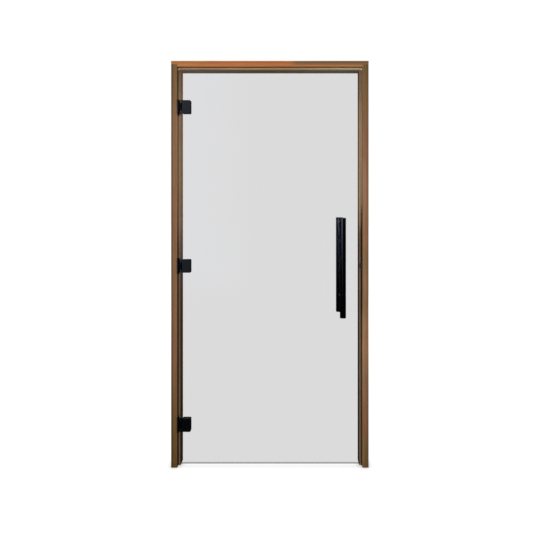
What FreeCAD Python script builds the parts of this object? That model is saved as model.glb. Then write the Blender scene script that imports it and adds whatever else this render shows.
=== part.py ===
import FreeCAD, Part
import math
import os

# A sauna door: a frameless glass leaf on three black clamp hinges in a softwood frame,
# with a pair of round pull bars bolted back to back through the glass and a magnetic catch.
#
# Frame of the part: millimetres, +X from the hinge side to the latch side, +Y from the
# outside (where the leaf opens to) into the hot room, +Z up.
# X = 0 is the outer face of the hinge jamb, Y = 0 the middle of the frame's depth,
# Z = 0 the foot of the frame.

V = FreeCAD.Vector
os.makedirs("parts", exist_ok=True)

# ---------------------------------------------------------------- driving dimensions
# wooden frame
frame_width = 992.0
frame_height = 2043.0
frame_depth = 90.0
jamb_thick = 31.0
head_thick = 30.0
head_lap = 17.0            # part of the head that runs over the tops of the side jambs
stop_thick = 12.0
latch_stop_thick = 13.0
stop_front_y = -17.5
arris_r = 2.0              # eased edges of the boards

# glass leaf
glass_thick = 8.0
glass_front_y = -32.0
glass_x0 = 40.0
glass_width = 914.0
glass_z0 = 14.0
glass_height = 1992.0
glass_arris = 1.5

# hinges
hinge_z = {"bottom": 213.0, "middle": 1012.0, "top": 1812.0}
axis_x = 49.0
axis_y = -39.5
leaf_plate_thick = 5.0
leaf_plate_height = 78.0
leaf_plate_y0 = -44.0
leaf_plate_y1 = -19.5
web_y0 = -43.0
web_y1 = -35.5
knuckle_r = 5.0
knuckle_half = 19.0
pin_r = 2.5
pin_bore_r = 2.55
washer_thick = 0.8
clamp_x1 = 98.0
clamp_half = 33.5
notch_x = 56.0
notch_half = 20.0
ear_r = 7.0
clamp_corner_r = 5.0
clamp_edge_r = 1.0           # eased edges of the front clamps
gasket_thick = 1.0
back_plate_thick = 6.0
clamp_screw_x = 78.0
clamp_screw_dz = 19.0
clamp_screw_r = 3.0
glass_hinge_hole_r = 6.0

# pull handle, one bar each side of the glass
handle_x = 857.0
handle_z = 1009.0
handle_length = 492.0
handle_post_pitch = 300.0
outer_bar_offset = 73.0    # from the middle of the glass to the axis of each bar
inner_bar_offset = 98.0
outer_bar_r = 15.0
inner_bar_r = 19.0
bar_wall = 2.0
cap_thick = 2.0
post_r = 10.0
stud_r = 4.0
glass_handle_hole_r = 6.5

# catch on the latch side
catch_z = 1013.0
catch_plate_height = 100.0
catch_plate_thick = 1.5
catch_plate_y0 = -43.0
catch_plate_y1 = -19.5
magnet_height = 25.0

# holes for fixing the frame to the wall
fix_hole_r = 3.25
fix_hole_y = -30.0
fix_hole_z = (120.0, 620.0, 1420.0, 1920.0)

# ---------------------------------------------------------------- derived positions
hd = frame_depth / 2.0
latch_in = frame_width - jamb_thick                 # inner face of the latch jamb
jamb_top = frame_height - head_lap                  # top of the side jambs
head_under = frame_height - head_thick              # underside of the head
stop_top = head_under - stop_thick                  # underside of the head stop
glass_back_y = glass_front_y + glass_thick
glass_mid_y = 0.5 * (glass_front_y + glass_back_y)
glass_x1 = glass_x0 + glass_width
glass_z1 = glass_z0 + glass_height
clamp_front_y = axis_y - ear_r
clamp_face_y = glass_front_y - gasket_thick         # inner face of the front clamp
back_face_y = glass_back_y + gasket_thick           # inner face of the back clamp
outer_bar_y = glass_mid_y - outer_bar_offset
inner_bar_y = glass_mid_y + inner_bar_offset
post_z = (handle_z - handle_post_pitch / 2.0, handle_z + handle_post_pitch / 2.0)


# ---------------------------------------------------------------- helpers
def box(x0, x1, y0, y1, z0, z1):
    return Part.makeBox(x1 - x0, y1 - y0, z1 - z0, V(x0, y0, z0))


def rod(p0, p1, r):
    a, b = V(*p0), V(*p1)
    return Part.makeCylinder(r, (b - a).Length, a, b - a)


def cone(p0, p1, r0, r1):
    a, b = V(*p0), V(*p1)
    return Part.makeCone(r0, r1, (b - a).Length, a, b - a)


def rounded_profile(a0, a1, b0, b1, radii, place):
    """Closed wire of a rectangle a0..a1 by b0..b1 with the corner radii
    (a0b0, a1b0, a1b1, a0b1); place turns (a, b) into a point."""
    corners = [(a0, b0), (a1, b0), (a1, b1), (a0, b1)]
    ways = [((0, 1), (1, 0)), ((-1, 0), (0, 1)), ((0, -1), (-1, 0)), ((1, 0), (0, -1))]
    edges, last, first = [], None, None
    for (ca, cb), (w_in, w_out), r in zip(corners, ways, radii):
        if r > 0:
            s = (ca + w_in[0] * r, cb + w_in[1] * r)
            e = (ca + w_out[0] * r, cb + w_out[1] * r)
            centre = (ca + (w_in[0] + w_out[0]) * r, cb + (w_in[1] + w_out[1]) * r)
            d = (ca - centre[0], cb - centre[1])
            n = math.hypot(*d)
            m = (centre[0] + d[0] / n * r, centre[1] + d[1] / n * r)
        else:
            s = e = (ca, cb)
            m = None
        if last is not None:
            edges.append(Part.LineSegment(place(*last), place(*s)).toShape())
        else:
            first = s
        if m is not None:
            edges.append(Part.Arc(place(*s), place(*m), place(*e)).toShape())
        last = e
    edges.append(Part.LineSegment(place(*last), place(*first)).toShape())
    return Part.Wire(edges)


def prism_z(x0, x1, y0, y1, z0, z1, radii):
    w = rounded_profile(x0, x1, y0, y1, radii, lambda a, b: V(a, b, z0))
    return Part.Face(w).extrude(V(0, 0, z1 - z0))


def prism_x(x0, x1, y0, y1, z0, z1, radii):
    w = rounded_profile(y0, y1, z0, z1, radii, lambda a, b: V(x0, a, b))
    return Part.Face(w).extrude(V(x1 - x0, 0, 0))


def prism_y(x0, x1, y0, y1, z0, z1, radii):
    w = rounded_profile(x0, x1, z0, z1, radii, lambda a, b: V(a, y0, b))
    return Part.Face(w).extrude(V(0, y1 - y0, 0))


def wood_screw(p, way, length, head_r=4.2, shank_r=2.2, head_deep=2.0):
    """Countersunk wood screw: head flush at p, pointing along way, with a cross recess."""
    p, w = V(*p), V(*way)
    tip = 5.0
    s = cone(p, p + w * head_deep, head_r, shank_r)
    s = s.fuse(rod(p + w * head_deep, p + w * (length - tip), shank_r))
    s = s.fuse(cone(p + w * (length - tip), p + w * length, shank_r, 0.4))
    other = [a for a in (V(1, 0, 0), V(0, 1, 0), V(0, 0, 1)) if abs(a.dot(w)) < 0.5]
    for u, v in (other, other[::-1]):
        half = u * 2.0 + v * 0.45
        lo, hi = p - half - w * 0.5, p + half + w * 1.5
        s = s.cut(box(min(lo.x, hi.x), max(lo.x, hi.x), min(lo.y, hi.y),
                      max(lo.y, hi.y), min(lo.z, hi.z), max(lo.z, hi.z)))
    return s


def wood_screw_hole(p, way, length, head_r=4.2, shank_r=2.2, head_deep=2.0):
    p, w = V(*p), V(*way)
    h = cone(p, p + w * head_deep, head_r, shank_r)
    return h.fuse(rod(p + w * head_deep, p + w * length, shank_r))


def one(shape):
    """The single solid of a fused or cut shape, with its seams tidied."""
    s = shape.removeSplitter()
    assert len(s.Solids) == 1, len(s.Solids)
    return s.Solids[0]


def several(shapes):
    solids = []
    for s in shapes:
        solids.extend(s.Solids)
    return Part.makeCompound(solids)


nodes = {}

# ---------------------------------------------------------------- wooden frame
leaf_screw_y = -26.0
leaf_screw_dz = (-28.0, 0.0, 28.0)
leaf_screw_len = 27.0
head_screw_xy = [(x, y) for x in (jamb_thick / 2, frame_width - jamb_thick / 2)
                 for y in (-25.0, 25.0)]
head_screw_len = 70.0
catch_screw_z = (catch_z - 38.0, catch_z + 38.0)
catch_screw_len = 22.0

hinge_jamb = prism_z(0, jamb_thick, -hd, hd, 0, jamb_top, (arris_r,) * 4)
latch_jamb = prism_z(latch_in, frame_width, -hd, hd, 0, jamb_top, (arris_r,) * 4)
head_jamb = prism_x(0, frame_width, -hd, hd, head_under, frame_height, (arris_r,) * 4)
head_jamb = head_jamb.cut(box(-1, jamb_thick, -hd - 1, hd + 1, head_under - 1, jamb_top))
head_jamb = head_jamb.cut(box(latch_in, frame_width + 1, -hd - 1, hd + 1, head_under - 1, jamb_top))

for z in fix_hole_z:
    # countersunk fixing holes, driven from the rebate in front of the stops
    hinge_jamb = hinge_jamb.cut(rod((-1, fix_hole_y, z), (jamb_thick + 1, fix_hole_y, z), fix_hole_r))
    hinge_jamb = hinge_jamb.cut(cone((jamb_thick - 3, fix_hole_y, z), (jamb_thick, fix_hole_y, z), fix_hole_r, 6.25))
    latch_jamb = latch_jamb.cut(rod((latch_in - 1, fix_hole_y, z), (frame_width + 1, fix_hole_y, z), fix_hole_r))
    latch_jamb = latch_jamb.cut(cone((latch_in + 3, fix_hole_y, z), (latch_in, fix_hole_y, z), fix_hole_r, 6.25))

head_screws = []
for x, y in head_screw_xy:
    hole = wood_screw_hole((x, y, frame_height), (0, 0, -1), head_screw_len, 5.0, 2.5, 2.5)
    head_jamb = head_jamb.cut(hole)
    if x < frame_width / 2:
        hinge_jamb = hinge_jamb.cut(hole)
    else:
        latch_jamb = latch_jamb.cut(hole)
    head_screws.append(wood_screw((x, y, frame_height), (0, 0, -1), head_screw_len, 5.0, 2.5, 2.5))

stop_radii = (0, arris_r, arris_r, 0)
hinge_side_stop = prism_z(jamb_thick, jamb_thick + stop_thick, stop_front_y, hd, 0, stop_top, stop_radii)
latch_side_stop = prism_z(latch_in - latch_stop_thick, latch_in, stop_front_y, hd, 0, stop_top, (arris_r, 0, 0, arris_r))
head_stop = prism_x(jamb_thick, latch_in, stop_front_y, hd, stop_top, head_under, (arris_r, arris_r, 0, 0))

# ---------------------------------------------------------------- hinges, frame side
leaf_screws, washers = [], []
plate_x1 = jamb_thick + leaf_plate_thick
for name, z in hinge_z.items():
    h = leaf_plate_height / 2
    leaf = prism_x(jamb_thick, plate_x1, leaf_plate_y0, leaf_plate_y1, z - h, z + h, (4.0,) * 4)
    web = box(plate_x1 - 0.5, axis_x, web_y0, web_y1, z - knuckle_half, z + knuckle_half)
    knuckle = rod((axis_x, axis_y, z - knuckle_half), (axis_x, axis_y, z + knuckle_half), knuckle_r)
    leaf = leaf.fuse(web.fuse(knuckle))
    leaf = leaf.cut(rod((axis_x, axis_y, z - 30), (axis_x, axis_y, z + 30), pin_bore_r))
    for dz in leaf_screw_dz:
        p = (plate_x1, leaf_screw_y, z + dz)
        hole = wood_screw_hole(p, (-1, 0, 0), leaf_screw_len)
        leaf = leaf.cut(hole)
        hinge_jamb = hinge_jamb.cut(hole)
        leaf_screws.append(wood_screw(p, (-1, 0, 0), leaf_screw_len))
    nodes[name + "_hinge_jamb_leaf"] = one(leaf)
    for z0 in (z + knuckle_half, z - knuckle_half - washer_thick):
        ring = rod((axis_x, axis_y, z0), (axis_x, axis_y, z0 + washer_thick), knuckle_r)
        washers.append(ring.cut(rod((axis_x, axis_y, z0 - 1), (axis_x, axis_y, z0 + 2), pin_bore_r)))

# ---------------------------------------------------------------- hinges, glass side
front_gaskets, back_gaskets, clamp_screws = [], [], []
glass_holes = []
for name, z in hinge_z.items():
    r = clamp_corner_r
    front = prism_y(axis_x, clamp_x1, clamp_front_y, clamp_face_y, z - clamp_half, z + clamp_half, (0, r, r, 0))
    eased = [e for e in front.Edges
             if all(abs(v.Y - clamp_front_y) < 1e-6 for v in e.Vertexes)
             and not all(abs(v.X - axis_x) < 1e-6 for v in e.Vertexes)]
    front = front.makeFillet(clamp_edge_r, eased)
    for z0, z1 in ((z + notch_half, z + clamp_half), (z - clamp_half, z - notch_half)):
        front = front.fuse(rod((axis_x, axis_y, z0), (axis_x, axis_y, z1), ear_r))
    front = front.cut(box(axis_x - 20, notch_x, -60, -20, z - notch_half, z + notch_half))
    front = front.cut(rod((axis_x, axis_y, z - 50), (axis_x, axis_y, z + 50), pin_r))
    back = prism_y(notch_x, clamp_x1, back_face_y, back_face_y + back_plate_thick,
                   z - clamp_half, z + clamp_half, (r, r, r, r))
    g1 = prism_y(notch_x + 1, clamp_x1 - 1, clamp_face_y, glass_front_y, z - clamp_half + 1, z + clamp_half - 1, (1, 4, 4, 1))
    g2 = prism_y(notch_x + 1, clamp_x1 - 1, glass_back_y, back_face_y, z - clamp_half + 1, z + clamp_half - 1, (4, 4, 4, 4))
    y_head = back_face_y + back_plate_thick
    y_tip = clamp_front_y + 4.0
    for dz in (-clamp_screw_dz, clamp_screw_dz):
        x, zz = clamp_screw_x, z + dz
        shank = rod((x, y_head, zz), (x, y_tip, zz), clamp_screw_r)
        sink = cone((x, y_head, zz), (x, y_head - 3.0, zz), 6.0, clamp_screw_r)
        front = front.cut(rod((x, 0, zz), (x, y_tip - 1.0, zz), clamp_screw_r))
        back = back.cut(shank).cut(sink)
        screw = shank.fuse(sink)
        hexagon = Part.makePolygon([V(x + 2.3 * math.cos(math.radians(60 * i)), y_head + 1,
                                      zz + 2.3 * math.sin(math.radians(60 * i))) for i in range(7)])
        screw = screw.cut(Part.Face(Part.Wire(hexagon)).extrude(V(0, -3.5, 0)))
        clamp_screws.append(one(screw))
        hole = rod((x, 0, zz), (x, -60, zz), glass_hinge_hole_r)
        g1, g2 = g1.cut(hole), g2.cut(hole)
        glass_holes.append(hole)
    nodes[name + "_hinge_front_clamp"] = one(front)
    nodes[name + "_hinge_back_clamp"] = one(back)
    nodes[name + "_hinge_pin"] = rod((axis_x, axis_y, z - clamp_half + 1), (axis_x, axis_y, z + clamp_half - 1), pin_r)
    front_gaskets.append(g1)
    back_gaskets.append(g2)

# ---------------------------------------------------------------- glass leaf
glass = box(glass_x0, glass_x1, glass_front_y, glass_back_y, glass_z0, glass_z1)
rim = [e for e in glass.Edges if abs(e.Vertexes[0].Y - e.Vertexes[1].Y) < 1e-6]
glass = glass.makeChamfer(glass_arris, rim)
for z in post_z:
    glass_holes.append(rod((handle_x, 0, z), (handle_x, -60, z), glass_handle_hole_r))
for hole in glass_holes:
    glass = glass.cut(hole)

# ---------------------------------------------------------------- pull handle
bar_z0 = handle_z - handle_length / 2
bar_z1 = handle_z + handle_length / 2


def pull_bar(y, r):
    """Tube and its two end caps."""
    ri = r - bar_wall
    tube = rod((handle_x, y, bar_z0 + cap_thick), (handle_x, y, bar_z1 - cap_thick), r)
    tube = tube.cut(rod((handle_x, y, bar_z0), (handle_x, y, bar_z1), ri))
    caps = []
    for end, way in ((bar_z0, 1), (bar_z1, -1)):
        c = cone((handle_x, y, end), (handle_x, y, end + way * 1.0), r - 1.0, r)
        c = c.fuse(rod((handle_x, y, end + way * 1.0), (handle_x, y, end + way * cap_thick), r))
        c = c.fuse(rod((handle_x, y, end + way * cap_thick), (handle_x, y, end + way * (cap_thick + 8)), ri))
        caps.append(one(c))
    return tube, caps


outer_tube, outer_caps = pull_bar(outer_bar_y, outer_bar_r)
inner_tube, inner_caps = pull_bar(inner_bar_y, inner_bar_r)

outer_posts, inner_posts, grommets, studs = [], [], [], []
stud_y0, stud_y1 = -64.0, 12.0
for z in post_z:
    stud = rod((handle_x, stud_y0, z), (handle_x, stud_y1, z), stud_r)
    studs.append(stud)
    post = rod((handle_x, clamp_face_y, z), (handle_x, outer_bar_y, z), post_r)
    post = post.cut(rod((handle_x, outer_bar_y, z - 50), (handle_x, outer_bar_y, z + 50), outer_bar_r))
    outer_posts.append(one(post.cut(stud)))
    post = rod((handle_x, back_face_y, z), (handle_x, inner_bar_y, z), post_r)
    post = post.cut(rod((handle_x, inner_bar_y, z - 50), (handle_x, inner_bar_y, z + 50), inner_bar_r))
    inner_posts.append(one(post.cut(stud)))
    clear = rod((handle_x, -60, z), (handle_x, 20, z), stud_r + 0.1)
    for flange, way in ((clamp_face_y, 1), (back_face_y, -1)):
        g = rod((handle_x, flange, z), (handle_x, flange + way * gasket_thick, z), post_r)
        g = g.fuse(rod((handle_x, flange, z), (handle_x, glass_mid_y - way * 0.25, z), glass_handle_hole_r - 0.1))
        grommets.append(one(g.cut(clear)))

# ---------------------------------------------------------------- catch
magnet_x0 = latch_in - 10.0
magnet_deep = 12.0
magnet = box(magnet_x0, latch_in, stop_front_y, stop_front_y + magnet_deep,
             catch_z - magnet_height / 2, catch_z + magnet_height / 2)
latch_side_stop = latch_side_stop.cut(magnet)

plate = prism_x(latch_in - catch_plate_thick, latch_in, catch_plate_y0, catch_plate_y1,
                catch_z - catch_plate_height / 2, catch_z + catch_plate_height / 2, (4.0,) * 4)
catch_screws = []
for z in catch_screw_z:
    p = (latch_in - catch_plate_thick, -30.0, z)
    hole = wood_screw_hole(p, (1, 0, 0), catch_screw_len)
    plate = plate.cut(hole)
    latch_jamb = latch_jamb.cut(hole)
    catch_screws.append(wood_screw(p, (1, 0, 0), catch_screw_len))

keeper = prism_y(glass_x1 - 5.5, glass_x1 - 1.5, glass_back_y, glass_back_y + 1.5,
                 catch_z - magnet_height / 2, catch_z + magnet_height / 2, (1.0,) * 4)

# ---------------------------------------------------------------- nodes
nodes.update({
    "hinge_jamb": one(hinge_jamb),
    "latch_jamb": one(latch_jamb),
    "head_jamb": one(head_jamb),
    "hinge_side_stop": one(hinge_side_stop),
    "latch_side_stop": one(latch_side_stop),
    "head_stop": one(head_stop),
    "head_screws": several(head_screws),
    "hinge_leaf_screws": several(leaf_screws),
    "hinge_washers": several(washers),
    "catch_plate": one(plate),
    "catch_plate_screws": several(catch_screws),
    "catch_magnet": magnet,
    "glass_panel": one(glass),
    "front_clamp_gaskets": several(front_gaskets),
    "back_clamp_gaskets": several(back_gaskets),
    "clamp_screws": several(clamp_screws),
    "outer_handle_tube": outer_tube,
    "inner_handle_tube": inner_tube,
    "outer_handle_end_caps": several(outer_caps),
    "inner_handle_end_caps": several(inner_caps),
    "outer_handle_posts": several(outer_posts),
    "inner_handle_posts": several(inner_posts),
    "handle_grommets": several(grommets),
    "handle_studs": several(studs),
    "catch_keeper": keeper,
})

for name, shape in sorted(nodes.items()):
    assert shape.isValid(), name
    shape.exportStep("parts/" + name + ".step")
    b = shape.BoundBox
    print("%-26s %2d solid(s) %9.1f cm3  x %.1f..%.1f  y %.1f..%.1f  z %.1f..%.1f" % (
        name, len(shape.Solids), shape.Volume / 1000, b.XMin, b.XMax, b.YMin, b.YMax, b.ZMin, b.ZMax))
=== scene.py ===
import math

import bpy
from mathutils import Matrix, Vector

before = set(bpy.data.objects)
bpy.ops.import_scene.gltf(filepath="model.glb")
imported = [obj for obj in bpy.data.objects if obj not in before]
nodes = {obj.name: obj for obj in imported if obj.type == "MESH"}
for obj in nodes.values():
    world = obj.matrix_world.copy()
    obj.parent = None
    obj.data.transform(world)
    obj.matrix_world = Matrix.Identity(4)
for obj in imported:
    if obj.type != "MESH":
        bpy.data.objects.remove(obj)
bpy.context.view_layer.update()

scene = bpy.context.scene

# Metres. +X from the hinge side to the latch side, +Y from the outside into the room, +Z up.
FRONT = -0.045          # the frame's front face
STOP_Y = -0.0175        # the stops' front faces


def lin(r, g, b):
    """sRGB 0..255 to linear."""
    out = []
    for c in (r, g, b):
        c /= 255.0
        out.append(c / 12.92 if c <= 0.04045 else ((c + 0.055) / 1.055) ** 2.4)
    return tuple(out)


# ------------------------------------------------------------------ node helpers
class Graph:
    """Short names for building a material's nodes."""

    def __init__(self, name):
        self.mat = bpy.data.materials.new(name)
        self.mat.use_nodes = True
        self.nt = self.mat.node_tree
        self.nt.nodes.clear()
        self.out = self.nt.nodes.new("ShaderNodeOutputMaterial")

    def node(self, kind, **props):
        n = self.nt.nodes.new(kind)
        for k, v in props.items():
            setattr(n, k, v)
        return n

    def put(self, socket, value):
        if isinstance(value, bpy.types.NodeSocket):
            self.nt.links.new(value, socket)
        elif isinstance(value, (tuple, list)):
            v = list(value)
            if len(v) == 3 and len(socket.default_value) == 4:
                v.append(1.0)
            socket.default_value = v
        else:
            socket.default_value = value

    def math(self, op, a, b=0.0, c=0.0, clamp=False):
        n = self.node("ShaderNodeMath", operation=op, use_clamp=clamp)
        self.put(n.inputs[0], a)
        self.put(n.inputs[1], b)
        self.put(n.inputs[2], c)
        return n.outputs[0]

    def vmath(self, op, a, b=None):
        n = self.node("ShaderNodeVectorMath", operation=op)
        self.put(n.inputs[0], a)
        if b is not None:
            self.put(n.inputs[1], b)
        return n.outputs["Value"] if op in ("LENGTH", "DOT_PRODUCT", "DISTANCE") else n.outputs["Vector"]

    def coords(self):
        return self.node("ShaderNodeTexCoord").outputs["Object"]

    def split(self, v):
        n = self.node("ShaderNodeSeparateXYZ")
        self.put(n.inputs[0], v)
        return n.outputs[0], n.outputs[1], n.outputs[2]

    def join(self, x, y, z):
        n = self.node("ShaderNodeCombineXYZ")
        for s, v in zip(n.inputs, (x, y, z)):
            self.put(s, v)
        return n.outputs[0]

    def noise(self, v, scale, detail=2.0, rough=0.5, dist=0.0):
        n = self.node("ShaderNodeTexNoise")
        self.put(n.inputs["Vector"], v)
        n.inputs["Scale"].default_value = scale
        n.inputs["Detail"].default_value = detail
        n.inputs["Roughness"].default_value = rough
        n.inputs["Distortion"].default_value = dist
        return n.outputs["Fac"]

    def ramp(self, fac, stops, mode="LINEAR"):
        n = self.node("ShaderNodeValToRGB")
        n.color_ramp.interpolation = mode
        els = n.color_ramp.elements
        while len(els) > 1:
            els.remove(els[-1])
        first = True
        for pos, val in stops:
            col = (val, val, val, 1.0) if isinstance(val, (int, float)) else (*val, 1.0)
            if first:
                els[0].position, els[0].color = pos, col
                first = False
            else:
                e = els.new(pos)
                e.color = col
        self.put(n.inputs[0], fac)
        return n.outputs[0]

    def remap(self, v, a, b, c, d, smooth=False):
        n = self.node("ShaderNodeMapRange")
        if smooth:
            n.interpolation_type = "SMOOTHSTEP"
        for s, x in zip(n.inputs[:5], (v, a, b, c, d)):
            self.put(s, x)
        return n.outputs[0]

    def mix(self, fac, a, b, blend="MIX"):
        n = self.node("ShaderNodeMix", data_type="RGBA", blend_type=blend)
        self.put(n.inputs[0], fac)
        self.put(n.inputs[6], a)
        self.put(n.inputs[7], b)
        return n.outputs[2]

    def bump(self, height, strength, distance):
        n = self.node("ShaderNodeBump")
        n.inputs["Strength"].default_value = strength
        n.inputs["Distance"].default_value = distance
        self.put(n.inputs["Height"], height)
        return n.outputs[0]

    def principled(self, **values):
        n = self.node("ShaderNodeBsdfPrincipled")
        for k, v in values.items():
            self.put(n.inputs[k.replace("_", " ")], v)
        return n

    def finish(self, shader):
        self.nt.links.new(shader, self.out.inputs["Surface"])
        return self.mat


# ------------------------------------------------------------------ cedar
def cedar(name, along, seed, pith, tones, ring=0.0042, streak=None, feet=False, shade=1.0, inner=None, fade=None,
          spec=0.32, relief=0.35, edge=None, lift=()):
    """Oiled red cedar cut from a round log: growth rings run round a pith line parallel to the grain,
    so faces show long lines and the sawn ends show arcs.
    along: 'x' or 'z', the way the grain runs. pith: where the log's middle lies, across the grain.
    tones: (pale early wood, dark late wood, red patches, brown patches), linear.
    inner: a function of the graph that says where painted shade darkens the rebates and corners, 0..1.
    fade: (height, height, tint) each: fully tinted at the first height, not at all at the second.
    edge: a function of the graph for the strips along the arrises that are painted darker as shade, 0..1.
    lift: (function of the graph, tint) each: parts of the piece made lighter, darker or warmer, 0..1 and how much; most
    of them are painted light and shade."""
    g = Graph(name)
    x, y, z = g.split(g.coords())
    if along == "z":
        a, b, w = x, y, z
    else:
        a, b, w = z, y, x
    off = seed * 7.31
    # the log isn't straight: its lines wander a few millimetres over a metre
    slow = g.join(g.math("ADD", a, off), g.math("MULTIPLY", b, 1.0), g.math("MULTIPLY", w, 0.35))
    wander_a = g.math("MULTIPLY", g.math("SUBTRACT", g.noise(slow, 5.0, 2.0), 0.5), 0.030)
    slow2 = g.join(g.math("ADD", a, off + 3.7), b, g.math("MULTIPLY", w, 0.8))
    wander_b = g.math("MULTIPLY", g.math("SUBTRACT", g.noise(slow2, 9.0, 2.0), 0.5), 0.010)
    da = g.math("ADD", g.math("SUBTRACT", a, pith[0]), g.math("ADD", wander_a, wander_b))
    db = g.math("ADD", g.math("SUBTRACT", b, pith[1]), g.math("MULTIPLY", wander_a, 0.7))
    radius = g.vmath("LENGTH", g.join(da, db, 0.0))
    # ring widths vary from year to year
    years = g.math("DIVIDE", radius, ring)
    uneven = g.noise(g.join(g.math("MULTIPLY", radius, 60.0), off, 0.0), 1.0, 1.0)
    years = g.math("ADD", years, g.math("MULTIPLY", uneven, 2.2))
    phase = g.math("FRACT", years)
    late = g.ramp(phase, [(0.0, 0.10), (0.08, 0.0), (0.45, 0.12), (0.78, 0.55), (0.93, 1.0), (1.0, 0.25)])
    # fibres and tone streaks along the grain
    fib_v = g.join(g.math("MULTIPLY", a, 1.0), g.math("MULTIPLY", b, 1.0), g.math("MULTIPLY", w, 0.014))
    fibre = g.noise(fib_v, 1100.0, 3.0, 0.65)
    str_v = g.join(g.math("ADD", a, off), b, g.math("MULTIPLY", w, 0.022))
    streaks = g.noise(str_v, 170.0, 3.0, 0.6)
    big_v = g.join(g.math("ADD", a, off * 1.7), b, g.math("MULTIPLY", w, 0.30))
    patch = g.noise(big_v, 11.0, 3.0, 0.55)
    big2 = g.join(g.math("ADD", a, off + 11.0), b, g.math("MULTIPLY", w, 0.5))
    patch2 = g.noise(big2, 7.0, 2.0, 0.5)

    pale, dark, red, brown = tones
    col = g.mix(g.math("MULTIPLY", late, 0.62), pale, dark)
    col = g.mix(g.remap(patch, 0.42, 0.68, 0.0, 0.75, True), col, g.mix(g.math("MULTIPLY", late, 0.5), red, dark))
    col = g.mix(g.remap(patch2, 0.45, 0.70, 0.0, 0.65, True), col, g.mix(g.math("MULTIPLY", late, 0.5), brown, dark))
    if streak is not None:
        col = streak(g, x, y, z, col, late)
    col = g.mix(1.0, col, g.remap(streaks, 0.25, 0.75, 0.80, 1.16), "MULTIPLY")
    col = g.mix(1.0, col, g.remap(fibre, 0.30, 0.70, 0.86, 1.12), "MULTIPLY")

    # sawn ends soak up more oil and show the rings
    nrm = g.node("ShaderNodeTexCoord").outputs["Normal"]
    nx, ny, nz = g.split(nrm)
    end = g.remap(g.math("ABSOLUTE", nz if along == "z" else nx), 0.80, 0.95, 0.0, 1.0)
    col = g.mix(end, col, g.mix(late, g.mix(1.0, pale, (0.62, 0.58, 0.52), "MULTIPLY"), g.mix(1.0, dark, (0.6, 0.55, 0.5), "MULTIPLY")))
    if feet:
        # the last centimetres above the floor are darker
        darker_near_floor = g.remap(g.math("ADD", z, g.math("MULTIPLY", streaks, 0.02)), 0.006, 0.060, 0.84, 1.0, True)
        col = g.mix(1.0, col, darker_near_floor, "MULTIPLY")
    if shade != 1.0:
        col = g.mix(1.0, col, (shade, shade, shade), "MULTIPLY")
    for lo, hi, tint in fade or ():
        zz = g.math("ADD", z, g.math("MULTIPLY", g.math("SUBTRACT", patch, 0.5), 0.25 * abs(hi - lo)))
        col = g.mix(g.remap(zz, min(lo, hi), max(lo, hi), 1.0 if lo < hi else 0.0, 0.0 if lo < hi else 1.0, True),
                    col, g.mix(1.0, col, tint, "MULTIPLY"))
    # lighter, darker or warmer parts, most of them painted light and shade
    for where, tint in lift:
        col = g.mix(where(g, x, y, z, nx, ny, nz), col, g.mix(1.0, col, tint, "MULTIPLY"))
    # painted shade darkens the strips along the arrises
    if edge is not None:
        col = g.mix(edge(g, x, y, z, nx, ny, nz), col, g.mix(1.0, col, (0.60, 0.50, 0.38), "MULTIPLY"))
    # painted shade in the rebates and corners
    if inner is not None:
        col = g.mix(inner(g, x, y, z, nx, ny, nz), col, g.mix(1.0, col, (0.20, 0.17, 0.14), "MULTIPLY"))

    col = g.mix(1.0, col, (0.90, 0.88, 0.84), "DARKEN")

    rough = g.math("ADD", g.remap(late, 0.0, 1.0, 0.56, 0.46), g.remap(fibre, 0.3, 0.7, -0.04, 0.06))
    height = g.math("ADD", g.math("MULTIPLY", late, 0.6), g.math("MULTIPLY", fibre, 0.8))
    p = g.principled(Base_Color=col, Roughness=rough, Normal=g.bump(height, relief, 0.00025))
    p.inputs["Specular IOR Level"].default_value = spec
    return g.finish(p.outputs[0])


def facing(g, n, a=0.6, b=0.95):
    """1 where the normal's part n points along the axis."""
    return g.remap(n, a, b, 0.0, 1.0, True)


def outer_arris_left(g, x, y, z, nx, ny, nz):
    """painted shade on the hinge jamb's outer arris, front and side"""
    return g.math("MULTIPLY", g.remap(x, 0.0078, 0.0112, 0.88, 0.0, True), g.remap(y, -0.036, -0.030, 1.0, 0.0, True))


def outer_arris_right(g, x, y, z, nx, ny, nz):
    """painted shade on the latch jamb's outer arris, front and side"""
    strip = g.math("MAXIMUM", g.remap(x, 0.9778, 0.9800, 0.0, 0.36, True), g.remap(x, 0.9815, 0.9865, 0.0, 0.45, True))
    return g.math("MULTIPLY", strip, g.remap(y, -0.036, -0.030, 1.0, 0.0, True))


def head_arris(g, x, y, z, nx, ny, nz):
    """painted shade on the head's upper and lower arrises on the front"""
    top = g.math("MULTIPLY", g.remap(z, 2.0300, 2.0324, 0.0, 0.52, True), g.remap(z, 2.0358, 2.0374, 1.0, 0.0, True))
    low = g.remap(z, 2.0170, 2.0150, 0.0, 0.30, True)
    return g.math("MULTIPLY", g.math("MAXIMUM", top, low), g.remap(y, -0.036, -0.030, 1.0, 0.0, True))


def times(g, *parts):
    out = parts[0]
    for v in parts[1:]:
        out = g.math("MULTIPLY", out, v)
    return out


def in_front_of_stop(g, y):
    return g.remap(y, STOP_Y + 0.0002, STOP_Y - 0.0002, 0.0, 1.0)


def hinge_rebate(g, x, y, z, nx, ny, nz):
    """painted shade on the hinge jamb's inner face, in front of its stop: less so above half height"""
    up = g.math("MAXIMUM", g.remap(z, 1.05, 1.25, 1.0, 0.0, True), g.remap(z, 1.84, 1.97, 0.0, 0.5, True))
    return times(g, facing(g, nx), g.remap(y, -0.036, -0.028, 0.45, 0.74, True), in_front_of_stop(g, y), up)


def hinge_rebate_painted_light(g, x, y, z, nx, ny, nz):
    """painted light: the same face above half height, made lighter"""
    return times(g, facing(g, nx), g.remap(y, -0.030, -0.024, 1.0, 0.0, True), g.remap(z, 1.10, 1.45, 0.0, 1.0, True),
                 g.remap(z, 1.72, 1.86, 1.0, 0.0, True))


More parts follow.
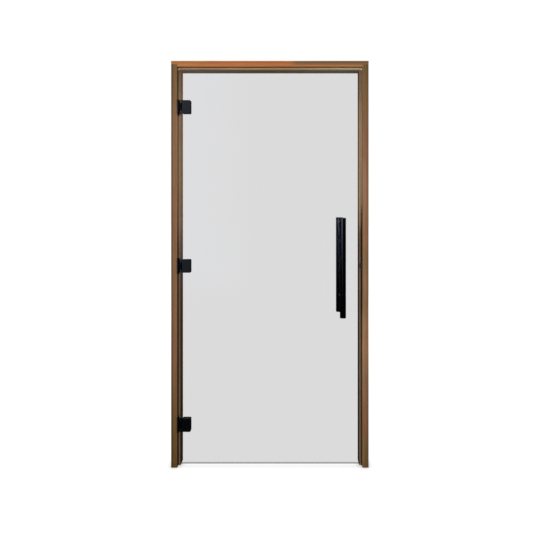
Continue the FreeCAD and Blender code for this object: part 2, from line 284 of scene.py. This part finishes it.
def hinge_gap(g, x, y, z, nx, ny, nz):
    """painted shade in the inner corner where the hinge-side stop meets the jamb"""
    on_jamb = times(g, facing(g, nx), g.remap(y, -0.029, -0.024, 0.0, 1.0, True), in_front_of_stop(g, y))
    on_stop = times(g, facing(g, g.math("MULTIPLY", ny, -1.0)), g.remap(x, 0.0335, 0.0320, 0.0, 1.0, True),
                    g.remap(y, -0.030, -0.025, 0.0, 1.0))
    return g.math("MAXIMUM", on_jamb, on_stop)


def latch_strip(g, x, y, z, nx, ny, nz):
    """painted shade on the part of the latch-side stop's front that the glass doesn't cover, in the gap by the jamb"""
    return times(g, facing(g, g.math("MULTIPLY", ny, -1.0)), g.remap(x, 0.9552, 0.9566, 0.0, 1.0, True))


def beside_hinges(x0, x1, heights):
    """the strip of the hinge jamb's front beside the hinges, which lies in their shade"""
    def mask(g, x, y, z, nx, ny, nz):
        near = None
        for h in heights:
            b = g.remap(g.math("ABSOLUTE", g.math("SUBTRACT", z, h)), 0.0370, 0.0425, 1.0, 0.0, True)
            near = b if near is None else g.math("MAXIMUM", near, b)
        return times(g, front(g, x, y, z, nx, ny, nz), g.remap(x, x0, x1, 0.0, 1.0, True), near)
    return mask


def hinge_stop_arris(g, x, y, z, nx, ny, nz):
    """painted highlight on the hinge-side stop's inner arris on the front"""
    return times(g, facing(g, g.math("MULTIPLY", ny, -1.0), 0.3, 0.7), g.remap(x, 0.0388, 0.0402, 0.0, 1.0, True))


def latch_inner_arris(g, x, y, z, nx, ny, nz):
    """painted highlight on the latch jamb's inner arris"""
    return times(g, g.remap(x, 0.9655, 0.9630, 0.0, 1.0, True), g.remap(y, -0.038, -0.034, 1.0, 0.0, True))


def high(z0, z1):
    """1 above z1 metres, 0 below z0"""
    return lambda g, x, y, z, nx, ny, nz: g.remap(z, z0, z1, 0.0, 1.0, True)


def low(z0, z1):
    """1 below z0 metres, 0 above z1"""
    return lambda g, x, y, z, nx, ny, nz: g.remap(z, z0, z1, 1.0, 0.0, True)


def front(g, x, y, z, nx, ny, nz):
    return facing(g, g.math("MULTIPLY", ny, -1.0), 0.35, 0.75)


def across(g, x, y, z, nx, ny, nz):
    """faces across the doorway"""
    return g.remap(g.math("ABSOLUTE", nx), 0.75, 0.97, 0.0, 1.0, True)


def both(*fns):
    return lambda g, *a: times(g, *[f(g, *a) for f in fns])


def latch_dark(g, z):
    """how much painted shade the gap on the latch side gets: most round handle height, less where it is open above"""
    return times(g, g.math("MAXIMUM", g.remap(z, 1.26, 1.37, 1.0, 0.0, True), g.remap(z, 1.35, 1.60, 0.30, 0.0, True)),
                 g.remap(z, 0.66, 0.80, 0.62, 1.0, True))


def latch_rebate(g, x, y, z, nx, ny, nz):
    """painted shade on the latch jamb's inner face, in front of its stop"""
    return times(g, facing(g, g.math("MULTIPLY", nx, -1.0)), g.remap(y, -0.040, -0.030, 0.75, 1.0, True),
                 in_front_of_stop(g, y), latch_dark(g, z))


def head_rebate(g, x, y, z, nx, ny, nz):
    """painted shade on the head's underside, in front of its stop"""
    return times(g, facing(g, g.math("MULTIPLY", nz, -1.0)), g.remap(y, -0.031, -0.026, 0.42, 0.0, True), in_front_of_stop(g, y))


def latch_corner(g, x, y, z, nx, ny, nz):
    """painted shade in the corner between the latch-side stop's front face and the jamb"""
    return times(g, facing(g, g.math("MULTIPLY", ny, -1.0)), g.remap(x, 0.9550, 0.9576, 0.0, 1.0, True), latch_dark(g, z))


def hinge_corner(g, x, y, z, nx, ny, nz):
    """painted shade on the hinge-side stop's front face: in its corner with the jamb, and painted shadow in the strips
    behind the hinges
    """
    front = facing(g, g.math("MULTIPLY", ny, -1.0))
    corner = g.math("MULTIPLY", g.remap(x, 0.0365, 0.032, 0.0, 0.35, True), g.remap(z, 1.12, 1.42, 1.0, 0.2, True))
    behind = None
    for h in (0.207, 1.012, 1.812):
        off = g.math("ABSOLUTE", g.math("SUBTRACT", z, h))
        b = g.remap(off, 0.034, 0.044, 1.0, 0.0, True)
        behind = b if behind is None else g.math("MAXIMUM", behind, b)
    return g.math("MULTIPLY", front, g.math("MAXIMUM", corner, behind))


def head_stop_arris(g, x, y, z, nx, ny, nz):
    """painted shade on the lower arris of the head's stop on the front"""
    return g.math("MULTIPLY", g.remap(z, 2.0042, 2.0030, 0.0, 1.0, True), g.remap(y, STOP_Y + 0.0080, STOP_Y + 0.0030, 0.0, 1.0, True))


def underside(g, x, y, z, nx, ny, nz):
    return facing(g, g.math("MULTIPLY", nz, -1.0))


def underside_in_front(g, x, y, z, nx, ny, nz):
    """painted light on the head's underside in front of its stop, with the lower arris"""
    return times(g, in_front_of_stop(g, y), g.remap(z, 2.0152, 2.0138, 0.0, 1.0, True))


def rightwards(g, x, y, z, nx, ny, nz):
    """the latch side of the head"""
    return g.remap(x, 0.50, 0.72, 0.0, 1.0, True)


def head_streak(g, x, y, z, col, late):
    """A dark heartwood band along the upper part of the head, towards the latch side."""
    edge = g.noise(g.join(g.math("MULTIPLY", x, 1.0), 0.0, 0.0), 9.0, 2.0)
    # behind the front face the band starts in long fingers along the grain
    fingers = g.noise(g.join(g.math("MULTIPLY", x, 1.5), g.math("MULTIPLY", y, 120.0), g.math("MULTIPLY", z, 120.0)), 1.0, 2.0)
    back = g.remap(y, FRONT + 0.002, FRONT + 0.026, 0.0, 1.0, True)
    fingers = g.math("MULTIPLY", back, g.math("MULTIPLY", g.math("SUBTRACT", fingers, 0.5), 1.1))
    edge_x = g.math("ADD", x, g.math("ADD", fingers, g.math("MULTIPLY", g.math("SUBTRACT", edge, 0.5), 0.06)))
    start = g.remap(edge_x, 0.585, g.math("ADD", 0.650, g.math("MULTIPLY", back, 0.12)), 0.0, 1.0, True)
    above = g.remap(g.math("ADD", z, g.math("MULTIPLY", g.math("SUBTRACT", edge, 0.5), 0.004)), 2.0185, 2.0255, 0.0, 1.0, True)
    band = g.math("MULTIPLY", start, above)
    brown = g.mix(g.math("MULTIPLY", late, 0.6), lin(134, 100, 68), lin(96, 66, 42))
    return g.mix(g.math("MULTIPLY", band, 0.92), col, brown)


JAMB_TONES = (lin(146, 108, 76), lin(100, 68, 42), lin(150, 100, 74), lin(122, 94, 56))
HEAD_TONES = (lin(190, 124, 72), lin(150, 84, 40), lin(188, 112, 66), lin(172, 112, 60))
STOP_TONES = (lin(158, 132, 102), lin(120, 94, 68), lin(150, 116, 92), lin(142, 120, 88))

HEAD_STOP_TONES = (lin(224, 186, 148), lin(182, 146, 112), lin(214, 172, 136), lin(204, 172, 130))
OLIVE = (0.76, 0.80, 0.58)
FOOT = (0.62, 0.66, 0.42)

mats = {}
mats["hinge_jamb"] = cedar("cedar_hinge_jamb", "z", 1.0, (-0.055, -0.075), JAMB_TONES, feet=True, shade=0.96,
                           inner=hinge_rebate, edge=outer_arris_left, fade=((2.00, 1.72, OLIVE), (0.05, 0.60, FOOT)),
                           lift=((front, (0.95, 0.98, 1.0)), (hinge_rebate_painted_light, (2.5, 2.8, 2.9)), (hinge_gap, (0.60, 0.58, 0.52)),
                                 (beside_hinges(0.0235, 0.0260, (0.213, 1.012, 1.812)), (0.68, 0.69, 0.70)),
                                 (beside_hinges(0.0292, 0.0300, (0.213, 1.012)), (0.22, 0.20, 0.18))))
mats["latch_jamb"] = cedar("cedar_latch_jamb", "z", 2.0, (1.062, -0.110), JAMB_TONES, ring=0.0036, feet=True, shade=1.15,
                           inner=latch_rebate, edge=outer_arris_right, fade=((1.95, 1.45, (0.62, 0.66, 0.48)), (0.0, 0.45, (0.72, 0.76, 0.56))),
                           lift=((front, (0.97, 1.01, 1.12)),
                                 (both(latch_inner_arris, high(1.22, 1.40)), (1.35, 1.5, 1.75)),
                                 (both(latch_inner_arris, low(0.70, 0.95)), (1.45, 1.6, 1.9)),
                                 (both(low(0.72, 0.86), high(0.36, 0.52)), (1.28, 1.26, 1.36))))
mats["head_jamb"] = cedar("cedar_head", "x", 3.0, (2.108, -0.085), HEAD_TONES, streak=head_streak, inner=head_rebate, edge=head_arris,
                         lift=((underside_in_front, (1.25, 1.80, 1.85)), (both(front, high(2.0358, 2.0374)), (1.0, 1.12, 1.0))), shade=0.95)
# the stops are paler than the boards and warmer; their fronts and their faces across the doorway are painted lighter
# above half height and darker below, as light and shade
mats["hinge_side_stop"] = cedar("cedar_hinge_stop", "z", 4.0, (0.091, -0.060), STOP_TONES, ring=0.0031, feet=True,
                                inner=hinge_corner, spec=0.06, relief=0.15,
                                fade=((2.0, 1.80, (0.6, 0.56, 0.5)),),
                                lift=((both(front, high(1.05, 1.25)), (1.10, 1.10, 1.10)),
                                      (both(front, low(1.05, 1.25)), (0.62, 0.56, 0.50)),
                                      (hinge_gap, (0.60, 0.58, 0.52)),
                                      (both(hinge_stop_arris, high(1.05, 1.35)), (1.55, 1.45, 1.25)),
                                      (both(across, high(0.95, 1.40)), (3.1, 2.25, 1.10)),
                                      (both(across, low(0.95, 1.40)), (0.86, 0.62, 0.30)),
                                      (both(across, low(0.25, 0.65)), (0.68, 0.58, 0.50))))
mats["latch_side_stop"] = cedar("cedar_latch_stop", "z", 5.0, (0.906, -0.050), STOP_TONES, ring=0.0034, feet=True,
                                inner=latch_corner, spec=0.06, relief=0.15,
                                fade=((1.95, 1.66, (0.60, 0.52, 0.48)),),
                                lift=((both(front, high(1.16, 1.28)), (2.5, 2.75, 3.1)),
                                      (both(front, low(1.16, 1.28)), (1.34, 1.45, 1.66)),
                                      (both(latch_strip, high(1.16, 1.28)), (0.62, 0.60, 0.60)),
                                      (both(latch_strip, low(1.16, 1.28)), (0.42, 0.32, 0.18)),
                                      (both(across, high(1.08, 1.36)), (2.4, 1.95, 1.4)),
                                      (both(across, low(1.08, 1.36)), (0.56, 0.44, 0.31)),
                                      (both(across, low(0.25, 0.70)), (0.72, 0.60, 0.46))))
# painted light on the head stop's underside and front, lighter towards the latch side, and painted shade on its lower
# front arris
mats["head_stop"] = cedar("cedar_head_stop", "x", 6.0, (1.951, -0.070), HEAD_STOP_TONES, ring=0.0033, spec=0.06, relief=0.15,
                          lift=((underside, (1.30, 1.34, 1.22)), (rightwards, (1.30, 1.42, 1.62)), (front, (1.18, 1.24, 1.28)),
                                (head_stop_arris, (0.32, 0.36, 0.36))))


# ------------------------------------------------------------------ metal, rubber, plastic
def powder_black(name, base, rough, grain=1.0, spec=0.5, tint=(1.0, 1.0, 1.0)):
    """Fine-textured matt powder coat. tint: the colour of its sheen."""
    g = Graph(name)
    p = g.coords()
    peel = g.noise(p, 850.0, 2.0, 0.5)
    wide = g.noise(p, 45.0, 3.0, 0.55)
    col = g.mix(g.remap(wide, 0.3, 0.7, 0.0, 1.0), base, tuple(c * 1.35 for c in base))
    r = g.math("ADD", g.remap(peel, 0.3, 0.7, rough - 0.03, rough + 0.05), g.remap(wide, 0.3, 0.7, -0.03, 0.03))
    b = g.principled(Base_Color=col, Roughness=r, Normal=g.bump(peel, 0.06 * grain, 0.0002))
    b.inputs["Specular IOR Level"].default_value = spec
    b.inputs["Specular Tint"].default_value = (*tint, 1.0)
    return g.finish(b.outputs[0])


def rubber(name):
    g = Graph(name)
    p = g.coords()
    n = g.noise(p, 600.0, 3.0, 0.6)
    b = g.principled(Base_Color=g.mix(n, (0.010, 0.010, 0.010), (0.022, 0.022, 0.022)), Roughness=g.remap(n, 0.3, 0.7, 0.72, 0.86),
                     Normal=g.bump(n, 0.2, 0.0002))
    return g.finish(b.outputs[0])


def plastic(name):
    g = Graph(name)
    n = g.noise(g.coords(), 300.0, 2.0, 0.5)
    b = g.principled(Base_Color=g.mix(n, (0.016, 0.016, 0.017), (0.030, 0.030, 0.031)), Roughness=g.remap(n, 0.3, 0.7, 0.42, 0.52))
    return g.finish(b.outputs[0])


def steel(name, base, along="z", rough=0.34, metal=1.0):
    """Brushed or turned steel: fine lines along one axis."""
    g = Graph(name)
    x, y, z = g.split(g.coords())
    s = {"x": (0.03, 1, 1), "y": (1, 0.03, 1), "z": (1, 1, 0.03)}[along]
    lines = g.noise(g.join(g.math("MULTIPLY", x, s[0]), g.math("MULTIPLY", y, s[1]), g.math("MULTIPLY", z, s[2])), 2500.0, 2.0, 0.6)
    spots = g.noise(g.coords(), 120.0, 3.0, 0.6)
    col = g.mix(g.remap(spots, 0.35, 0.7, 0.0, 0.5), base, tuple(c * 0.7 for c in base))
    b = g.principled(Base_Color=col, Metallic=metal, Roughness=g.remap(lines, 0.3, 0.7, rough - 0.06, rough + 0.08),
                     Normal=g.bump(lines, 0.08, 0.0001))
    return g.finish(b.outputs[0])


black = powder_black("black_powder_coat", (0.0010, 0.0011, 0.0012), 0.31, 1.0, 0.43, (0.93, 1.0, 0.80))
black_bar = powder_black("black_bar_coat", (0.0004, 0.0005, 0.0008), 0.10, 0.25)
black_inner_bar = powder_black("black_inner_bar_coat", (0.0006, 0.0007, 0.0010), 0.10, 0.04, 0.60)
# painted shade: the jamb leaves get a duller copy of the black coat, which reflects less
black_leaf = powder_black("black_hinge_leaf_coat", (0.0008, 0.0009, 0.0012), 0.42, 1.0, 0.08)
black_plate = powder_black("black_plate_coat", (0.004, 0.004, 0.0045), 0.5)
black_screw = powder_black("black_screw_finish", (0.008, 0.008, 0.009), 0.32, 0.4)
for n in ("bottom", "middle", "top"):
    mats[n + "_hinge_jamb_leaf"] = black_leaf
    mats[n + "_hinge_front_clamp"] = black
    mats[n + "_hinge_back_clamp"] = black
    mats[n + "_hinge_pin"] = steel("pin_steel_" + n, (0.42, 0.43, 0.44), "z")
for n in ("outer_handle_tube", "inner_handle_tube", "outer_handle_end_caps", "inner_handle_end_caps",
          "outer_handle_posts", "inner_handle_posts"):
    mats[n] = black_bar
mats["inner_handle_tube"] = black_inner_bar
mats["inner_handle_end_caps"] = black_inner_bar
mats["catch_plate"] = black_plate
mats["hinge_leaf_screws"] = black_screw
mats["clamp_screws"] = black_screw
mats["catch_plate_screws"] = black_screw
mats["head_screws"] = steel("zinc_screws", (0.50, 0.51, 0.52), "x", 0.4)
mats["handle_studs"] = steel("stud_steel", (0.45, 0.46, 0.47), "y")
mats["catch_keeper"] = steel("keeper_steel", (0.34, 0.34, 0.34), "z", 0.5, 0.7)
mats["catch_magnet"] = steel("magnet_face", (0.20, 0.20, 0.20), "z", 0.5, 0.7)
mats["front_clamp_gaskets"] = rubber("gasket_rubber")
mats["back_clamp_gaskets"] = mats["front_clamp_gaskets"]
mats["hinge_washers"] = plastic("black_nylon")
mats["handle_grommets"] = mats["hinge_washers"]


# ------------------------------------------------------------------ glass
def pane():
    """Clear toughened glass, slightly grey, with ground and polished edges that look darker."""
    g = Graph("glass_pane")
    x, y, z = g.split(g.coords())
    # distance to the nearest of the four outer edges
    dx = g.math("MINIMUM", g.math("SUBTRACT", x, 0.040), g.math("SUBTRACT", 0.954, x))
    dz = g.math("MINIMUM", g.math("SUBTRACT", z, 0.014), g.math("SUBTRACT", 2.006, z))
    d = g.math("MINIMUM", dx, dz)
    rim = g.remap(d, 0.0016, 0.0019, 1.0, 0.0)
    # painted shade: a dark band over the pane's lowest few millimetres, which widens the dark line along its bottom
    # edge
    foot = g.remap(g.math("SUBTRACT", z, 0.014), 0.0045, 0.0085, 1.0, 0.0, True)
    tint = g.mix(foot, (0.752, 0.752, 0.754), (0.305, 0.315, 0.312))
    body = g.principled(Base_Color=g.mix(g.math("MULTIPLY", rim, g.remap(z, 0.017, 0.021, 0.0, 1.0)), tint, (0.030, 0.036, 0.033)), Roughness=0.0)
    body.inputs["Transmission Weight"].default_value = 1.0
    body.inputs["IOR"].default_value = 1.5
    # lamps reach what is behind the glass
    lp = g.node("ShaderNodeLightPath")
    clear = g.node("ShaderNodeBsdfTransparent")
    clear.inputs["Color"].default_value = (0.88, 0.88, 0.88, 1.0)
    m2 = g.node("ShaderNodeMixShader")
    g.put(m2.inputs[0], lp.outputs["Is Shadow Ray"])
    g.nt.links.new(body.outputs[0], m2.inputs[1])
    g.nt.links.new(clear.outputs[0], m2.inputs[2])
    return g.finish(m2.outputs[0])


mats["glass_panel"] = pane()

for name, obj in nodes.items():
    if name not in mats:
        raise RuntimeError("no material for " + name)
    m = mats[name]
    if not obj.material_slots:
        obj.data.materials.append(m)
    for s in obj.material_slots:
        s.material = m


# ------------------------------------------------------------------ stage, light, camera
SEEN = 1.02        # what a plain white surround shows
GLANCE = 0.03      # what clear glass mirrors of the dark part of the studio in front of it


def ray_flags(g):
    """(seen by the camera, seen through glass, mirrored by clear glass, mirrored by a satin surface)"""
    lp = g.node("ShaderNodeLightPath")
    matt = g.math("GREATER_THAN", lp.outputs["Diffuse Depth"], 0.5)
    shiny = g.math("GREATER_THAN", lp.outputs["Glossy Depth"], 0.5)
    not_matt = g.math("SUBTRACT", 1.0, matt)
    passing = lp.outputs["Is Transmission Ray"]
    through = g.math("MULTIPLY", passing, g.math("MULTIPLY", not_matt, g.math("SUBTRACT", 1.0, shiny)))
    sharp = g.math("MULTIPLY", lp.outputs["Is Glossy Ray"], lp.outputs["Is Singular Ray"])
    mirrored = g.math("MULTIPLY", g.math("MULTIPLY", sharp, not_matt), g.math("SUBTRACT", 1.0, passing))
    satin = g.math("MULTIPLY", g.math("MULTIPLY", shiny, not_matt), g.math("SUBTRACT", 1.0, mirrored))
    return lp.outputs["Is Camera Ray"], through, mirrored, satin


SHEET = 0.85                 # brightness of the big pale sheet that stands left in front
COOL = (0.80, 0.87, 1.38)


def soft_box(g, side):
    """1 in the sector of the pale sheet, 0 outside. side: sine of the direction, -1 left, 1 right."""
    edges = g.math("MULTIPLY", g.remap(side, -0.05, -0.17, 0.0, 1.0, True), g.remap(side, -0.90, -0.76, 0.0, 1.0, True))
    return g.math("MULTIPLY", edges, g.remap(side, -0.64, -0.25, 4.6, 0.95, True))


def make_floor():
    me = bpy.data.meshes.new("floor")
    r = 40.0
    me.from_pydata([(-r, -r, -0.0005), (r, -r, -0.0005), (r, r, -0.0005), (-r, r, -0.0005)], [], [(0, 1, 2, 3)])
    o = bpy.data.objects.new("floor", me)
    scene.collection.objects.link(o)
    g = Graph("pale_floor")
    camera, through, mirrored, satin = ray_flags(g)
    x, y, z = g.split(g.coords())
    away = g.vmath("LENGTH", g.join(g.math("SUBTRACT", x, 0.5), y, 0.0))
    # what satin surfaces mirror of the floor: dark close by, a pale sheet far off to the left in front
    side = g.math("DIVIDE", g.math("SUBTRACT", x, 0.5), g.math("MAXIMUM", away, 0.001))
    ahead = g.remap(y, -0.5, 0.5, 1.0, 0.0, True)
    left = soft_box(g, side)
    slant = g.remap(side, -0.24, -0.34, 0.0, 1.0)
    near_part = g.remap(away, 3.8, 9.2, 0.0, 1.0, True)
    far_part = g.remap(away, 8.0, 46.0, 0.0, 1.0)
    g_front = times(g, left, SHEET, g.math("ADD", g.math("MULTIPLY", g.math("SUBTRACT", 1.0, slant), near_part), g.math("MULTIPLY", slant, far_part)))
    g_back = g.remap(away, 1.5, 12.0, 0.02, 0.07, True)
    glossy_glow = g.math("ADD", g.math("MULTIPLY", ahead, g_front), g.math("MULTIPLY", g.math("SUBTRACT", 1.0, ahead), g_back))
    plain_glow = g.remap(away, 0.8, 7.0, 0.02, 0.42, True)
    glow = g.math("ADD", g.math("MULTIPLY", satin, glossy_glow), g.math("MULTIPLY", g.math("SUBTRACT", 1.0, satin), plain_glow))
    dim = g.node("ShaderNodeEmission")
    g.put(dim.inputs["Color"], g.mix(g.math("MULTIPLY", satin, ahead), (1, 1, 1), COOL))
    g.put(dim.inputs["Strength"], glow)
    lit = g.node("ShaderNodeBsdfDiffuse")
    lit.inputs["Color"].default_value = (FLOOR_ALBEDO, FLOOR_ALBEDO, FLOOR_ALBEDO, 1.0)
    # painted contact shadow: the floor's own glow is dimmed where parts of the door stand close above it
    ao = g.node("ShaderNodeAmbientOcclusion", samples=8)
    ao.inputs["Distance"].default_value = 0.034
    near = g.remap(ao.outputs["AO"], 0.20, 0.95, 0.40, 1.0)
    own = g.node("ShaderNodeEmission")
    g.put(own.inputs["Color"], (1, 1, 1))
    g.put(own.inputs["Strength"], g.math("MULTIPLY", near, g.remap(away, 0.9, 4.0, FLOOR_OWN, SEEN, True)))
    add = g.node("ShaderNodeAddShader")
    g.nt.links.new(lit.outputs[0], add.inputs[0])
    g.nt.links.new(own.outputs[0], add.inputs[1])
    flat = g.node("ShaderNodeEmission")
    g.put(flat.inputs["Strength"], g.math("ADD", g.math("MULTIPLY", through, SEEN), g.math("MULTIPLY", mirrored, GLANCE)))
    m1 = g.node("ShaderNodeMixShader")
    g.put(m1.inputs[0], g.math("MAXIMUM", through, mirrored))
    g.nt.links.new(dim.outputs[0], m1.inputs[1])
    g.nt.links.new(flat.outputs[0], m1.inputs[2])
    m2 = g.node("ShaderNodeMixShader")
    g.put(m2.inputs[0], camera)
    g.nt.links.new(m1.outputs[0], m2.inputs[1])
    g.nt.links.new(add.outputs[0], m2.inputs[2])
    mat = g.finish(m2.outputs[0])
    mat.cycles.emission_sampling = "NONE"
    me.materials.append(mat)
    return o


FLOOR_ALBEDO, FLOOR_OWN = 0.30, 0.87
make_floor()

world = bpy.data.worlds.new("studio")
scene.world = world
world.use_nodes = True
world.cycles.sampling_method = "NONE"
g = Graph.__new__(Graph)
g.nt = world.node_tree
g.nt.nodes.clear()
w_out = g.node("ShaderNodeOutputWorld")
camera, through, mirrored, satin = ray_flags(g)
wx, wy, wz = g.split(g.node("ShaderNodeTexCoord").outputs["Generated"])
flat = g.vmath("LENGTH", g.join(wx, wy, 0.0))
side = g.math("DIVIDE", wx, g.math("MAXIMUM", flat, 0.001))
ahead = g.remap(wy, -0.05, 0.05, 1.0, 0.0, True)
sheet = g.math("MULTIPLY", soft_box(g, side), g.remap(wz, 0.50, 0.75, SHEET, 0.25, True))
right = g.math("MULTIPLY", g.remap(side, 0.72, 0.82, 0.0, 0.30, True), g.remap(side, 0.90, 0.97, 1.0, 0.0, True))
above = g.remap(wz, 0.55, 0.95, 0.03, 0.45, True)
s_front = g.math("MAXIMUM", g.math("MAXIMUM", sheet, right), above)
s_back = g.remap(wz, 0.0, 0.5, 0.07, 0.22, True)
shine = g.math("ADD", g.math("MULTIPLY", ahead, s_front), g.math("MULTIPLY", g.math("SUBTRACT", 1.0, ahead), s_back))
dome = g.remap(wz, -0.05, 0.8, 0.16, 0.34, True)
rest_val = g.math("ADD", g.math("MULTIPLY", satin, shine), g.math("MULTIPLY", g.math("SUBTRACT", 1.0, satin), dome))
direct = g.math("MAXIMUM", camera, through)
val = g.math("ADD", g.math("MULTIPLY", direct, SEEN), g.math("MULTIPLY", g.math("SUBTRACT", 1.0, direct), rest_val))
val = g.math("ADD", g.math("MULTIPLY", mirrored, GLANCE), g.math("MULTIPLY", g.math("SUBTRACT", 1.0, mirrored), val))
bg = g.node("ShaderNodeBackground")
tint = g.math("MULTIPLY", satin, g.math("MULTIPLY", ahead, soft_box(g, side)), clamp=True)
g.put(bg.inputs["Color"], g.mix(tint, (1, 1, 1), COOL))
g.put(bg.inputs["Strength"], val)
g.nt.links.new(bg.outputs[0], w_out.inputs["Surface"])


def area(name, loc, target, size, power, color=(1, 1, 1), diffuse=True, glossy=True):
    d = bpy.data.lights.new(name, "AREA")
    d.shape = "RECTANGLE"
    d.size, d.size_y = size
    d.energy = power
    d.color = color
    o = bpy.data.objects.new(name, d)
    scene.collection.objects.link(o)
    o.location = loc
    o.rotation_mode = "QUATERNION"
    o.rotation_quaternion = (Vector(target) - Vector(loc)).to_track_quat("-Z", "Y")
    o.visible_camera = False
    o.visible_transmission = False
    o.visible_diffuse = diffuse
    o.visible_glossy = glossy
    return o


area("front", (0.5, -5.0, 2.2), (0.5, 0.0, 1.05), (3.0, 2.4), 210.0, (1.0, 0.995, 0.985), glossy=False)
area("back", (0.5, 5.0, 2.4), (0.5, 0.0, 1.0), (3.0, 2.4), 110.0, glossy=False)

PX = 533.0
F_PX = 527.9
DIST = 2.650
XV, YV = 288.0, 209.0
SCALE = F_PX / (DIST * 1000.0)
cam_d = bpy.data.cameras.new("camera")
cam = bpy.data.objects.new("camera", cam_d)
scene.collection.objects.link(cam)
scene.camera = cam
cam_d.sensor_fit = "HORIZONTAL"
cam_d.sensor_width = 36.0
cam_d.lens = F_PX / PX * 36.0
cam_d.clip_start, cam_d.clip_end = 0.05, 200.0
cam.location = ((XV - 171.05) / SCALE / 1000.0, FRONT - DIST, (467.7 - YV) / SCALE / 1000.0)
cam.rotation_euler = (math.pi / 2, 0, 0)
cam_d.shift_x = -(XV - PX / 2) / PX
cam_d.shift_y = -(PX / 2 - YV) / PX
cam_d.dof.use_dof = False

scene.view_settings.view_transform = "Standard"
scene.view_settings.look = "None"
scene.view_settings.exposure = 0.0
scene.view_settings.gamma = 1.0
